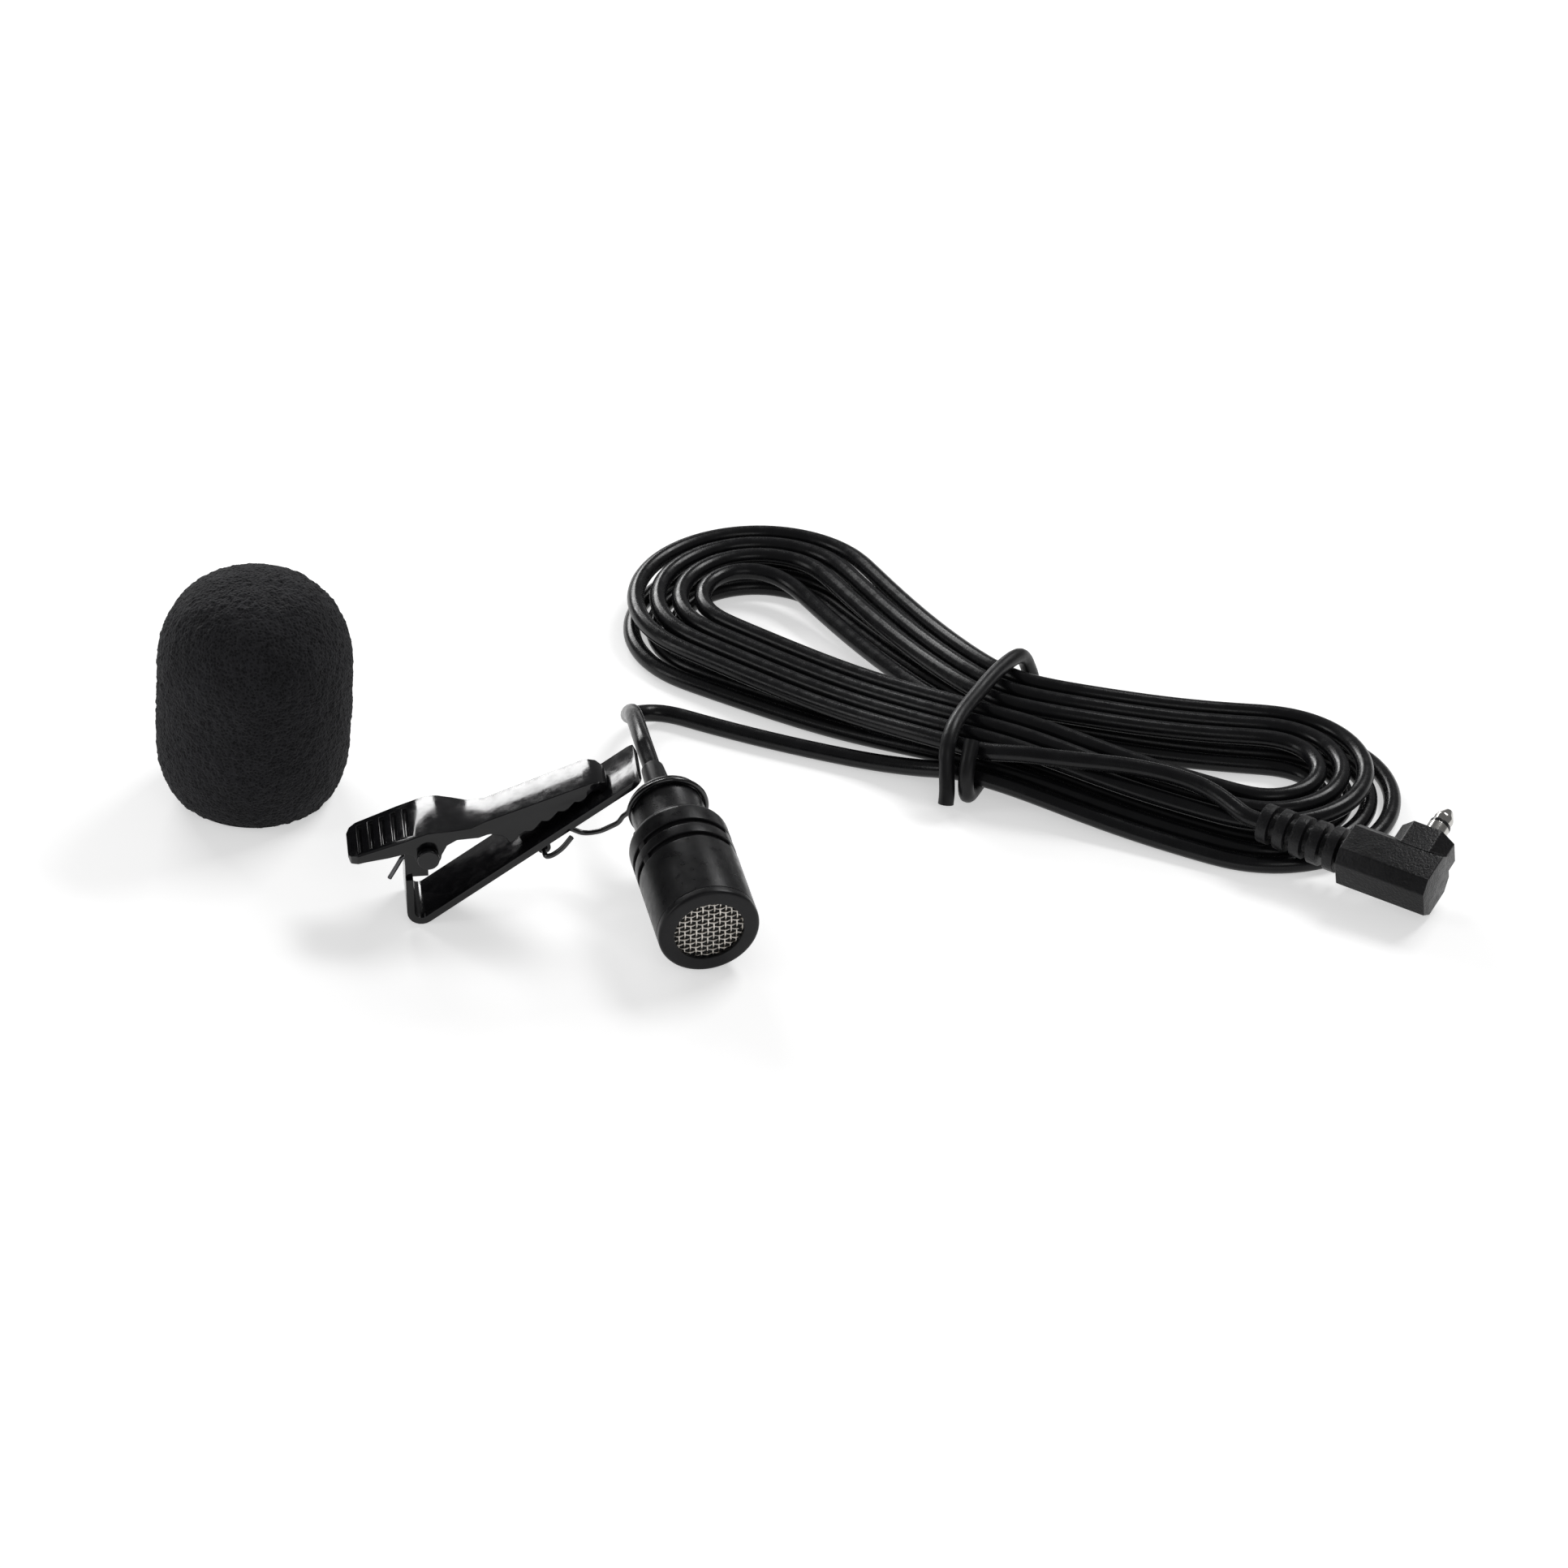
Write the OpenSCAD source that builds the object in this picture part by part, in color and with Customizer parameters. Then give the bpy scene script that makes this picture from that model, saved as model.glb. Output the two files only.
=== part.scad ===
// Lavalier microphone: a tie-clip microphone with its foam windscreen,
// hanked cord, wire tie and angled jack plug, laid out on a table.
// Millimetres. +X to the right, +Y to the back, +Z up, Z = 0 is the table.

/* [Microphone] */
// Outer diameter of the microphone barrel
barrel_d = 11.2; // [10.8:0.1:11.6]
// Distance from the front face to the barrel's rear shoulder
barrel_len = 15.6; // [15.5:0.1:16.2]
// Diameter of the neck that the wire ring holds
neck_d = 8.1; // [8.0:0.1:8.2]
// Diameter of the opening over the grille
grille_d = 7.7; // [7.3:0.1:7.9]
// How far the microphone points down
mic_tilt = 8; // [8:1:8]
// How far the microphone turns towards +X
mic_turn = 14; // [14:1:14]

/* [Clip] */
// Width of the thumb pad
clip_w = 7.5; // [7.5:0.1:7.8]
// Width of the lower jaw
jaw_w = 7.2; // [6.8:0.1:7.2]
// Rise of the lower jaw over the table
jaw_rise = 34.6; // [34.6:0.1:34.6]
// Thickness of the lower jaw's steel
jaw_t = 0.8; // [0.7:0.1:0.8]
// Thickness of the upper lever's steel
lever_t = 0.7; // [0.6:0.1:0.7]
// Diameter of the pivot pin
pin_d = 1.6; // [1.4:0.1:1.6]
// Diameter of the holder's wire
wire_d = 0.6; // [0.5:0.1:0.6]

/* [Windscreen] */
// Diameter of the foam windscreen
screen_d = 22; // [21:0.5:22]
// Height of the foam windscreen
screen_h = 27.3; // [26:0.1:28]
// Diameter of the hole for the microphone
screen_bore_d = 8.4; // [7.5:0.1:9.5]
// Depth of that hole
screen_bore_depth = 16; // [12:0.5:18]

/* [Cord] */
// Diameter of the cord
cord_d = 2.0; // [1.8:0.1:2.0]
// Turns in the hank
hank_turns = 7; // [7:1:7]
// Distance between strands at the hank's waist
strand_pitch = 2.6; // [2.5:0.05:2.6]

/* [Plug] */
// Diameter of the jack pin
jack_d = 2.5; // [2.5:0.5:2.5]
// Length of the jack pin outside the moulding
jack_len = 5.0; // [5:0.5:7]

/* [Hidden] */
$fn = 48;
slack = 0.05; // free space between fitted pieces
far = 100;    // longer than any piece

// ---- Microphone: local +Z runs from the front face to the rear ----
barrel_r = barrel_d / 2;
neck_r = neck_d / 2;
grille_r = grille_d / 2;
bezel_len = 1.0;
bore_r = 4.8;          // inside of the barrel
seat_r = 4.25;         // seat of the grille, behind the rim
rim_len = 0.5;         // rim in front of the grille
skirt_end = 2.6;       // end of the bezel's skirt inside the barrel
edge_r = 0.8;          // rounding of the front edge
groove_at = [9.4, 11.6];
groove_w = 0.8;
groove_depth = 0.4;
land_angles = [-30, -150, 90];
land_w = 1.1;          // each land that bridges the grooves
shoulder_len = 1.0;
shoulder_r = 4.9;
ring_at = 20.2;        // wire ring's place along the neck
lip_at = 20.6;
lip_len = 0.75;
lip_r = 4.25;
boot_end = 27.5;
boot_r = 1.25;
mic_front = [28.5, -23.3, barrel_r * cos(mic_tilt)];
mic_rear_way = [-sin(mic_turn) * cos(mic_tilt), cos(mic_turn) * cos(mic_tilt), sin(mic_tilt)];

// ---- Clip: local +X runs from pad to jaw tip, +Y away from the viewer ----
clip_at = [-4.3, -10.2, 0];
clip_turn = 6.5;
heel = [0.9, 1.6];      // centre of the lower jaw's bend
heel_r = 1.6;
upright_top = 6.9;      // top of the upright between the ears
ramp_len = 28.5;
pivot = [1.8, 8.95];
ear_r = 1.5;
ear_y = 2.85;          // outer face of the ears
ear_t = 0.7;
hinge_at = [14.5, 8.1]; // centre of the holder's cross bar
ramp_way = [cos(jaw_rise), sin(jaw_rise)];
ramp_start = heel + heel_r * [sin(jaw_rise), -cos(jaw_rise)];

// ---- Cord ----
cord_r = cord_d / 2;
hank_at = [61.4, 20.4, 0];
hank_turn = -25;
boot_tip = mic_front + boot_end * mic_rear_way;

// ---- Plug: local +X runs along the cord, +Y along the jack pin ----
plug_turn = -31;
plug_roll = 17;
relief_len = 10.5;
body_len = 10.8;
body_w = 6.2;
body_h = 6.0;
boss_reach = 5.2;
pin_x = 7.3;           // jack pin's place along the body
relief_start = [89.4, -1.3, 5.2];
plug_dip = 3.2;        // how far the plug's nose points down

module in_mic() {
    translate(mic_front) rotate([-(90 - mic_tilt), 0, mic_turn]) children();
}
module in_clip() {
    translate(clip_at) rotate([0, 0, clip_turn]) children();
}
module in_plug() {
    translate(relief_start) rotate([0, 0, plug_turn]) rotate([0, plug_dip, 0])
        rotate([plug_roll, 0, 0]) translate([relief_len, 0, 0]) children();
}
// Extrudes an outline drawn in (x, z) from y = near to y = away
module from_side(near, away) {
    translate([0, away, 0]) rotate([90, 0, 0]) linear_extrude(away - near) children();
}
module bead(r, z0, z1, facets = 48) {
    translate([0, 0, z0]) cylinder(r = r, h = z1 - z0, $fn = facets);
}

// ---- Sweeps: a round tube along points ----
function unit(v) = v / norm(v);
function way(p, i) = unit(p[min(i + 1, len(p) - 1)] - p[max(i - 1, 0)]);
// Turns the previous ring's side vector into the next ring's plane
function carry(side, t) = unit(side - (side * t) * t);
function first_side(t) = carry(abs(t[2]) < 0.9 ? [0, 0, 1] : [1, 0, 0], t);
function sides(p) = [
    for (i = 0, s = first_side(way(p, 0)); i < len(p);
         i = i + 1, s = i < len(p) ? carry(s, way(p, i)) : s) s
];
function ring_points(c, t, s, r, n) = [
    for (k = [0:n - 1]) c + r * (cos(360 * k / n) * s + sin(360 * k / n) * cross(t, s))
];
module tube(p, r, n = 8) {
    s = sides(p);
    last = len(p) - 1;
    points = [for (i = [0:last]) each ring_points(p[i], way(p, i), s[i], r, n)];
    walls = [
        for (i = [0:last - 1], k = [0:n - 1])
            let (a = i * n + k, b = i * n + (k + 1) % n)
            each [[a, a + n, b], [b, a + n, b + n]]
    ];
    start = [for (k = [1:n - 2]) [0, k, k + 1]];
    end = [for (k = [1:n - 2]) [last * n, last * n + k + 1, last * n + k]];
    polyhedron(points, concat(walls, start, end));
}
// Smooth curve through points: Catmull-Rom with steps between each two
function spline_at(a, b, c, d, t) =
    0.5 * (2 * b + (c - a) * t + (2 * a - 5 * b + 4 * c - d) * t * t + (3 * b - a - 3 * c + d) * t * t * t);
function spline(p, steps) = concat(
    [for (i = [0:len(p) - 2], k = [0:steps - 1])
        spline_at(p[max(i - 1, 0)], p[i], p[i + 1], p[min(i + 2, len(p) - 1)], k / steps)],
    [p[len(p) - 1]]);
function run_length(p) = len(p) < 2 ? 0
    : [for (i = 1, s = norm(p[1] - p[0]); i < len(p); i = i + 1, s = i < len(p) ? s + norm(p[i] - p[i - 1]) : s) s][len(p) - 2];

// ================= Microphone =================
module mic_barrel() {
    color([0.05, 0.05, 0.055]) in_mic() difference() {
        union() {
            bead(barrel_r, bezel_len + slack, barrel_len - shoulder_len);
            translate([0, 0, barrel_len - shoulder_len]) cylinder(r1 = barrel_r, r2 = shoulder_r, h = shoulder_len);
        }
        bead(bore_r, 0, barrel_len - 1.0);
        bead(neck_r + slack, 0, far);
        barrel_grooves();
    }
}
// Two grooves round the barrel, each bridged by three lands
module barrel_grooves() {
    difference() {
        for (g = groove_at) difference() {
            bead(barrel_r + 1, g, g + groove_w);
            bead(barrel_r - groove_depth, g - 1, g + 2);
        }
        intersection() {
            for (a = land_angles) rotate([0, 0, a]) translate([0, -land_w / 2, 0]) cube([far, land_w, far]);
            bead(barrel_r - 0.05, 0, far);
        }
    }
}
module front_bezel() {
    color([0.06, 0.06, 0.065]) in_mic() rotate_extrude() polygon(concat(
        [[seat_r, rim_len], [grille_r, rim_len], [grille_r, 0]],
        [for (a = [0:30:90]) [barrel_r - edge_r * (1 - sin(a)), edge_r * (1 - cos(a))]],
        [[barrel_r, bezel_len], [bore_r - slack, bezel_len], [bore_r - slack, skirt_end], [seat_r, skirt_end]]));
}
module grille_mesh() {
    pitch = 0.8;
    hole = 0.55;
    reach = 4;
    color([0.6, 0.58, 0.56]) in_mic() translate([0, 0, rim_len + 0.02]) linear_extrude(0.2) difference() {
        circle(r = seat_r - slack);
        for (i = [-reach:reach], j = [-reach:reach])
            if (norm([i, j]) * pitch < grille_r - 0.45)
                translate([i * pitch, j * pitch]) square(hole, center = true);
    }
}
module dust_felt() {
    color([0.12, 0.12, 0.12]) in_mic() bead(seat_r - slack, rim_len + 0.3, rim_len + 0.9);
}
module capsule_holder() {
    color([0.1, 0.1, 0.1]) in_mic() difference() {
        bead(bore_r - slack, 2.7, 7.2);
        bead(3.05, 0, far);
    }
}
module capsule() {
    color([0.75, 0.75, 0.77]) in_mic() difference() {
        bead(3.0, 2.8, 6.2);
        for (a = [0:90:270]) rotate([0, 0, a]) translate([1.4, 0, 0]) bead(0.3, 2, 3.2, 16);
        bead(0.3, 2, 3.2, 16);
    }
}
module capsule_board() {
    color([0.1, 0.4, 0.2]) in_mic() {
        bead(2.8, 6.22, 6.8);
        for (x = [-1.1, 1.1]) translate([x, 0, 0]) bead(0.55, 6.8, 7.1, 16);
    }
}
module lead(x) {
    in_mic() translate([x, 0, 0]) bead(0.35, 7.12, 13.1, 16);
}
module lead_red() {
    color([0.7, 0.1, 0.1]) lead(1.1);
}
module lead_black() {
    color([0.08, 0.08, 0.08]) lead(-1.1);
}
module cord_crimp() {
    color([0.72, 0.7, 0.66]) in_mic() bead(1.9, 13.15, 15.3);
}
module mic_tail() {
    color([0.045, 0.045, 0.05]) in_mic() difference() {
        union() {
            bead(bore_r - slack, 11.5, barrel_len - 1.05);
            bead(neck_r, barrel_len - 1.1, lip_at);
            bead(lip_r, lip_at, lip_at + lip_len);
        }
        bead(2.4, 10, 15.4);
        bead(1.15, 10, far);
    }
}
module cord_boot() {
    color([0.04, 0.04, 0.04]) in_mic() {
        bead(1.1, 15.45, lip_at + lip_len + 0.02);
        translate([0, 0, lip_at + lip_len + 0.01])
            cylinder(r1 = boot_r + 0.35, r2 = boot_r, h = boot_end - lip_at - lip_len - 0.01);
    }
}

// ================= Clip =================
// Wire holder: hook, cross bar, leg, then a ring round the neck.
// In the clip's own frame, apart from the ring, which is in the microphone's.
holder_hook = [
    [17.4, -4.15, 10.5], [16.4, -4.15, 9.2], [15.4, -4.15, 8.4],
    [14.7, -4.0, 8.1], [14.5, -3.5, 8.1], [14.5, -2.6, 8.1]
];
bar_d = wire_d + 0.02;
holder_leg = [
    [14.5, 2.6, 8.1], [14.5, 3.5, 8.1], [14.9, 4.1, 7.9], [16.2, 4.2, 7.1], [18.2, 4.15, 6.0], [19.4, 4.1, 5.5],
    [21.0, 3.8, 5.8], [22.3, 3.4, 6.6], [23.1, 3.05, 7.3], [23.6, 2.8, 8.2]
];
ring_r = neck_r + wire_d / 2 + 0.07;
function from_clip(p) = clip_at + [
    p[0] * cos(clip_turn) - p[1] * sin(clip_turn), p[0] * sin(clip_turn) + p[1] * cos(clip_turn), p[2]];
mic_side = [cos(mic_turn), sin(mic_turn), 0];
mic_up = cross(mic_side, mic_rear_way);
ring_centre = mic_front + ring_at * mic_rear_way;
function ring_point(a) = ring_centre + ring_r * (cos(a) * mic_side + sin(a) * mic_up);
module holder_wire() {
    // The ring starts on the clip's side and runs clockwise over the top
    ring = [for (a = [172:-15:-143]) ring_point(a)];
    color([0.03, 0.03, 0.035]) {
        tube([for (p = holder_hook) from_clip(p)], wire_d / 2, 8);
        tube(concat([for (p = holder_leg) from_clip(p)], ring), wire_d / 2, 8);
        in_clip() translate([hinge_at[0], 2.8, hinge_at[1]]) rotate([90, 0, 0]) cylinder(d = bar_d, h = 5.6);
    }
}
// The lower jaw's bent steel, seen from the side
module jaw_profile() {
    steps = 8;
    from = 180;
    to = 270 + jaw_rise;
    arc = [for (i = [0:steps]) from + (to - from) * i / steps];
    tip = ramp_start + ramp_len * ramp_way;
    up = jaw_t * [-sin(jaw_rise), cos(jaw_rise)];
    polygon(concat(
        [[heel[0] - heel_r, upright_top]],
        [for (a = arc) heel + heel_r * [cos(a), sin(a)]],
        [tip, tip + up],
        [for (i = [steps:-1:0]) heel + (heel_r - jaw_t) * [cos(arc[i]), sin(arc[i])]],
        [[heel[0] - heel_r + jaw_t, upright_top]]));
}
module jaw_plan() {
    corner = 1.2;
    tip_x = ramp_start[0] + ramp_len * ramp_way[0];
    translate([-5, -jaw_w / 2]) square([tip_x + 5 - corner, jaw_w]);
    translate([-5, -jaw_w / 2 + corner]) square([tip_x + 8, jaw_w - 2 * corner]);
    for (side = [-1, 1]) translate([tip_x - corner, side * (jaw_w / 2 - corner)]) circle(r = corner);
}
module lower_jaw() {
    left = heel[0] - heel_r;
    color([0.03, 0.03, 0.035]) in_clip() difference() {
        union() {
            intersection() {
                from_side(-jaw_w / 2, jaw_w / 2) jaw_profile();
                linear_extrude(far) jaw_plan();
            }
            for (side = [-1, 1]) {
                inner = side > 0 ? ear_y - ear_t : -ear_y;
                from_side(inner, inner + ear_t) {
                    translate(pivot) circle(r = ear_r);
                    translate([left, 5.8]) square([pivot[0] - left, pivot[1] + ear_r - 5.8 - 0.8]);
                }
            }
        }
        // The upright narrows below the ears, to pass between the lever's walls
        for (side = [-1, 1]) translate([left - 1, side > 0 ? ear_y : -far - ear_y, 5.8]) cube([2.4, far, 5]);
        translate([pivot[0], far / 2, pivot[1]]) rotate([90, 0, 0]) cylinder(d = pin_d + 0.02, h = far);
    }
}
// Tube under the jaw that the holder's cross bar turns in
module jaw_hinge_tube() {
    foot = [hinge_at[0] - 0.9, hinge_at[1]];
    color([0.035, 0.035, 0.04]) in_clip() difference() {
        from_side(-2.3, 2.3) {
            translate(hinge_at) circle(r = 0.75);
            translate(hinge_at) rotate(jaw_rise) translate([-0.75, 0]) square([1.5, hinge_gap()]);
        }
        translate([hinge_at[0], 5, hinge_at[1]]) rotate([90, 0, 0]) cylinder(d = bar_d + 0.1, h = 10);
    }
}
// Distance from the cross bar's centre to the underside of the jaw
function hinge_gap() = (ramp_start - hinge_at) * [-sin(jaw_rise), cos(jaw_rise)] - 0.005;
module pivot_pin() {
    color([0.04, 0.04, 0.045]) in_clip() translate([pivot[0], 0, pivot[1]]) rotate([90, 0, 0]) {
        cylinder(d = pin_d, h = clip_w + 0.4, center = true);
        for (side = [-1, 1]) translate([0, 0, side * (clip_w / 2 + 0.55)]) cylinder(r = 1.2, h = 0.9, center = true);
    }
}
// Torsion spring on the pin: coil, a leg under the pad and a leg down behind the upright
spring_turns = 4;
spring_wire_r = 0.25;
spring_coil_r = 1.15;
module clip_spring() {
    rings = 8;
    first = 150;
    coil = [
        for (i = [0:spring_turns * rings])
            let (a = first + 360 * i / rings, y = 1.5 - 3.0 * i / (spring_turns * rings))
            [pivot[0] + spring_coil_r * cos(a), y, pivot[1] + spring_coil_r * sin(a)]
    ];
    pad_leg = [[-4.6, 1.5, 8.4], [-1.6, 1.5, 9.45], [0.2, 1.5, 9.95]];
    back_leg = [[0.4, -1.5, 8.5], [-0.3, -1.5, 7.95], [-1.0, -1.5, 7.4], [-1.6, -1.5, 6.3], [-2.4, -1.5, 4.9]];
    color([0.1, 0.1, 0.1]) in_clip() tube(concat(pad_leg, coil, back_leg), spring_wire_r, 6);
}
// The upper lever seen from the side: pad, waist, jaw with its teeth
lever_top = [
    [-6.9, 8.55], [-6.4, 8.95], [0.7, 11.45], [1.8, 11.8], [3.0, 11.9], [5.0, 11.75], [6.6, 11.6], [8.4, 12.1],
    [14.0, 14.15], [19.0, 16.0], [19.9, 16.2], [20.7, 16.1], [21.3, 15.8], [21.65, 15.3], [21.65, 15.05]
];
// Tips of the small teeth; a valley lies beside each, and the big tooth ends the row
tooth_tips = [[18.8, 13.85], [17.0, 12.75], [15.15, 11.6], [13.35, 10.4]];
module lever_profile() {
    polygon(concat(
        lever_top,
        [[21.0, 14.6], [20.6, 15.2], [19.9, 15.1], [19.4, 14.7]],
        [for (tip = tooth_tips) each [tip, tip + [-0.85, 0.08]]],
        [[11.85, 10.0], [11.2, 9.15], [10.75, 9.1], [10.4, 9.7], [9.9, 10.1], [8.7, 10.3], [7.4, 10.1], [5.0, 10.45]],
        [[3.9, 10.0]],
        [for (a = [0:-20:-180]) pivot + ear_r * [cos(a), sin(a)]],
        [[-0.5, 9.35], [-2.4, 8.85], [-5.0, 8.35], [-6.6, 7.95]]));
}
// Outline of the lever from above, drawn in by inset
pad_half = clip_w / 2;
lever_edge = [
    [-6.8, 2.2], [-6.5, 2.9], [-5.8, 3.4], [-1.0, pad_half], [3.4, pad_half], [5.0, 3.35], [8.4, 2.35],
    [14.4, 2.5], [19.2, 2.6], [20.6, 2.35], [21.3, 1.8], [21.7, 1.0]
];
module lever_plan(inset) {
    count = len(lever_edge);
    first = lever_edge[0][0] + inset;
    last = lever_edge[count - 1][0] - inset;
    half = [for (p = lever_edge) [max(first, min(last, p[0])), p[1] - inset]];
    polygon(concat(half, [for (i = [count - 1:-1:0]) [half[i][0], -half[i][1]]]));
}
module upper_lever() {
    pad_slope = [1, 0.352];
    pad_way = atan2(pad_slope[1], pad_slope[0]);
    color([0.03, 0.03, 0.035]) in_clip() difference() {
        intersection() {
            from_side(-clip_w / 2, clip_w / 2) lever_profile();
            linear_extrude(far) lever_plan(0);
        }
        // The channel under the plate
        intersection() {
            from_side(-far, far) polygon(concat(
                [for (p = lever_top) p - [0, lever_t]],
                [[21.65, 0], [-7.5, 0]]));
            linear_extrude(far) lever_plan(lever_t);
        }
        // Five grip grooves across the pad
        for (i = [0:4])
            translate([-5.4 + 1.26 * i, 0, 9.3 + 1.26 * i * pad_slope[1]]) rotate([0, -pad_way, 0])
                cube([0.5, 5.4, 0.7], center = true);
        translate([pivot[0], far / 2, pivot[1]]) rotate([90, 0, 0]) cylinder(d = pin_d + 0.12, h = far);
    }
}

// ================= Windscreen =================
// Barrel-shaped foam: rounded foot, straight middle, domed top
module windscreen() {
    r = screen_d / 2;
    dome = 10.5;
    foot = 8;
    lean = 4;
    color([0.06, 0.06, 0.065]) translate([-23.6, 13.4, 0]) difference() {
        intersection() {
            rotate([0, lean, 0]) rotate_extrude() polygon(concat(
                [[0, -1.2], [7.2, -1.2], [7.8, 0]],
                [for (a = [35, 60, 90]) [7.8 + (r - 7.8) * sin(a), foot * (1 - cos(a)) + 0.3]],
                [for (a = [0:18:90]) [r * pow(cos(a), 0.75), screen_h - dome + dome * sin(a)]]));
            translate([-far / 2, -far / 2, 0]) cube(far);
        }
        translate([0, 0, -1]) cylinder(d = screen_bore_d, h = screen_bore_depth + 1);
    }
}

// ================= Cord =================
// The hank: a flat spiral in, a climb to the second layer, and a spiral out.
// turn runs from 0 to hank_turns; each starts at the waist on the near side.
// Each side of the waist is a lobe: two runs that touch a bend's circle.
waist_start = 3.75;     // strands from the middle to the outermost, at the waist
waist_soft = 6;         // length over which a run bends away from the waist
left_bends = [[-36.8, 11.6], [-37.4, 14.6]];  // centre in the lower and the upper layer
right_bends = [[31.0, 3.6], [30.0, 4.6]];
left_in = 16.5;         // radius of the bends on the outermost turn
right_in = 14.6;
mid_turn = hank_turns / 2;
function smooth(t) = t * t * (3 - 2 * t);
function clamp01(t) = max(0, min(1, t));
function mix(a, b, t) = a + (b - a) * t;
// Turns away from the outer turn: up to the middle, then back
function depth(turn) = turn < mid_turn + 0.25 ? turn : 2 * (mid_turn + 0.25) - turn;
function waist_half(turn) = strand_pitch * max(0.1, waist_start - depth(turn));
function layer(turn) = smooth(clamp01((turn - mid_turn) / 0.2));
function shift(turn) = smooth(clamp01((turn - mid_turn - 0.08) / 0.2));
function lift(s) = cord_r + 2.15 * exp(-pow(s / 15, 2));
// Angle, seen from a bend's centre, where a run from the waist touches it
function touch(centre, r, waist, side) =
    let (v = [0, waist] - centre)
    (centre[0] > 0 ? (atan2(v[1], v[0]) + 360) % 360 : atan2(v[1], v[0])) + side * acos(r / norm(v));
function on_circle(centre, r, a) = centre + r * [cos(a), sin(a)];
// From the waist to the end, t from 0 to 1, leaving the waist along the hank
function hank_run(waist, end, t) =
    let (ease = (norm([end[0] * t, waist_soft]) - waist_soft) / (norm([end[0], waist_soft]) - waist_soft))
    [end[0] * t, mix(waist, end[1], ease)];
// Place on the hank, as [along, across], for a turn
function hank_flat(turn) =
    let (
        f = turn - floor(turn), w = waist_half(turn),
        r = (f < 0.5 ? right_in : left_in) - strand_pitch * depth(turn),
        bends = f < 0.5 ? right_bends : left_bends,
        centre = mix(bends[0], bends[1], shift(turn)),
        side = f < 0.5 ? 1 : -1,
        near = touch(centre, r, -w, side) - 360 * side,
        away = touch(centre, r, w, -side)
    )
    f < 0.125 ? hank_run(-w, on_circle(centre, r, near), f / 0.125) :
    f < 0.375 ? on_circle(centre, r, mix(near, away, (f - 0.125) / 0.25)) :
    f < 0.5 ? hank_run(w, on_circle(centre, r, away), (0.5 - f) / 0.125) :
    f < 0.625 ? hank_run(w, on_circle(centre, r, away), (f - 0.5) / 0.125) :
    f < 0.875 ? on_circle(centre, r, mix(away, near, (f - 0.625) / 0.25)) :
    hank_run(-w, on_circle(centre, r, near), (1 - f) / 0.125);
function hank_point(turn) =
    let (p = hank_flat(turn))
    on_hank([p[0], p[1], lift(p[0]) + strand_pitch * layer(turn)]);
function on_hank(p) = hank_at + [
    p[0] * cos(hank_turn) - p[1] * sin(hank_turn), p[0] * sin(hank_turn) + p[1] * cos(hank_turn), p[2]];
hank_rings = 24;
hank_line = [for (i = [0:hank_turns * hank_rings]) hank_point(i / hank_rings)];
// Least distance between strands that aren't neighbours along the cord
function least_gap(p) = min([
    for (i = [0:len(p) - 1 - 8], j = [i + 8:len(p) - 1]) norm(p[i] - p[j])
]) - cord_d;
echo(hank_length = run_length(hank_line), hank_gap = least_gap(hank_line));

// From the boot, straight back, down to the table, round and along to the hank
lead_route = [
    boot_tip, boot_tip + 2.5 * mic_rear_way, boot_tip + 5 * mic_rear_way, [19.6, 15.5, 8.6], [19.2, 19.3, 6.5],
    [18.9, 22.2, 4.4], [18.8, 24.3, 2.9], [19.3, 26.3, 1.75], [20.9, 27.7, 1.2], [23.3, 27.6, 1.05],
    [27.3, 25.5, 1.05], [34.0, 22.3, 1.05], [41.0, 19.3, 1.1], [47.0, 16.7, 1.4], [52.5, 14.2, 2.2]
];
tail_route = [
    [62.8, 10.8, 6.4], [66.5, 9.7, 6.55], [70.0, 8.8, 6.65], [74.0, 8.1, 6.6], [79.0, 6.9, 6.25], [83.8, 3.9, 6.1]
];
hank_in = hank_line[0];
hank_out = hank_line[len(hank_line) - 1];
hank_in_step = hank_line[1] - hank_in;
hank_out_step = hank_out - hank_line[len(hank_line) - 2];
relief_way = [cos(plug_turn) * cos(plug_dip), sin(plug_turn) * cos(plug_dip), -sin(plug_dip)];
lead_line = spline(concat(lead_route, [hank_in - 0.15 * hank_in_step, hank_in]), 2);
tail_end = [relief_start - 2.2 * relief_way, relief_start];
tail_line = spline(concat([hank_out, hank_out + 0.12 * hank_out_step], tail_route, tail_end), 2);
echo(lead_length = run_length(lead_line), tail_length = run_length(tail_line));
module cord_lead() {
    color([0.04, 0.04, 0.045]) tube(lead_line, cord_r, 8);
}
module cord_hank() {
    color([0.04, 0.04, 0.045]) tube(hank_line, cord_r, 6);
}
module cord_tail() {
    color([0.04, 0.04, 0.045]) tube(tail_line, cord_r, 8);
}
// Wire tie: from the bundle's top, down the near side, under, up the far side,
// over and down to a short end; [along, across, up] on the hank
tie_r = 0.9;
tie_route = [
    [0.3, -9.7, 7.7], [0.5, -11.3, 5.8], [0.6, -12, 3.4], [0.5, -11.1, 1.3], [0.3, -7.5, 0.95],
    [0, -1, 0.95], [-0.4, 4.5, 0.95], [-0.8, 9.4, 1.05], [-1.2, 11.4, 2.3], [-1.7, 11.4, 4.6],
    [-2.2, 9.7, 7.3], [-2.8, 5, 7.9], [-3, -1, 7.9], [-2.8, -7, 7.9], [-2.3, -10.6, 6.8],
    [-1.7, -12.1, 4.4], [-1.3, -12.9, 2.4], [-1.2, -13.4, 1]
];
module wire_tie() {
    color([0.05, 0.05, 0.05]) tube(spline([for (p = tie_route) on_hank(p)], 2), tie_r, 8);
}

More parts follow.
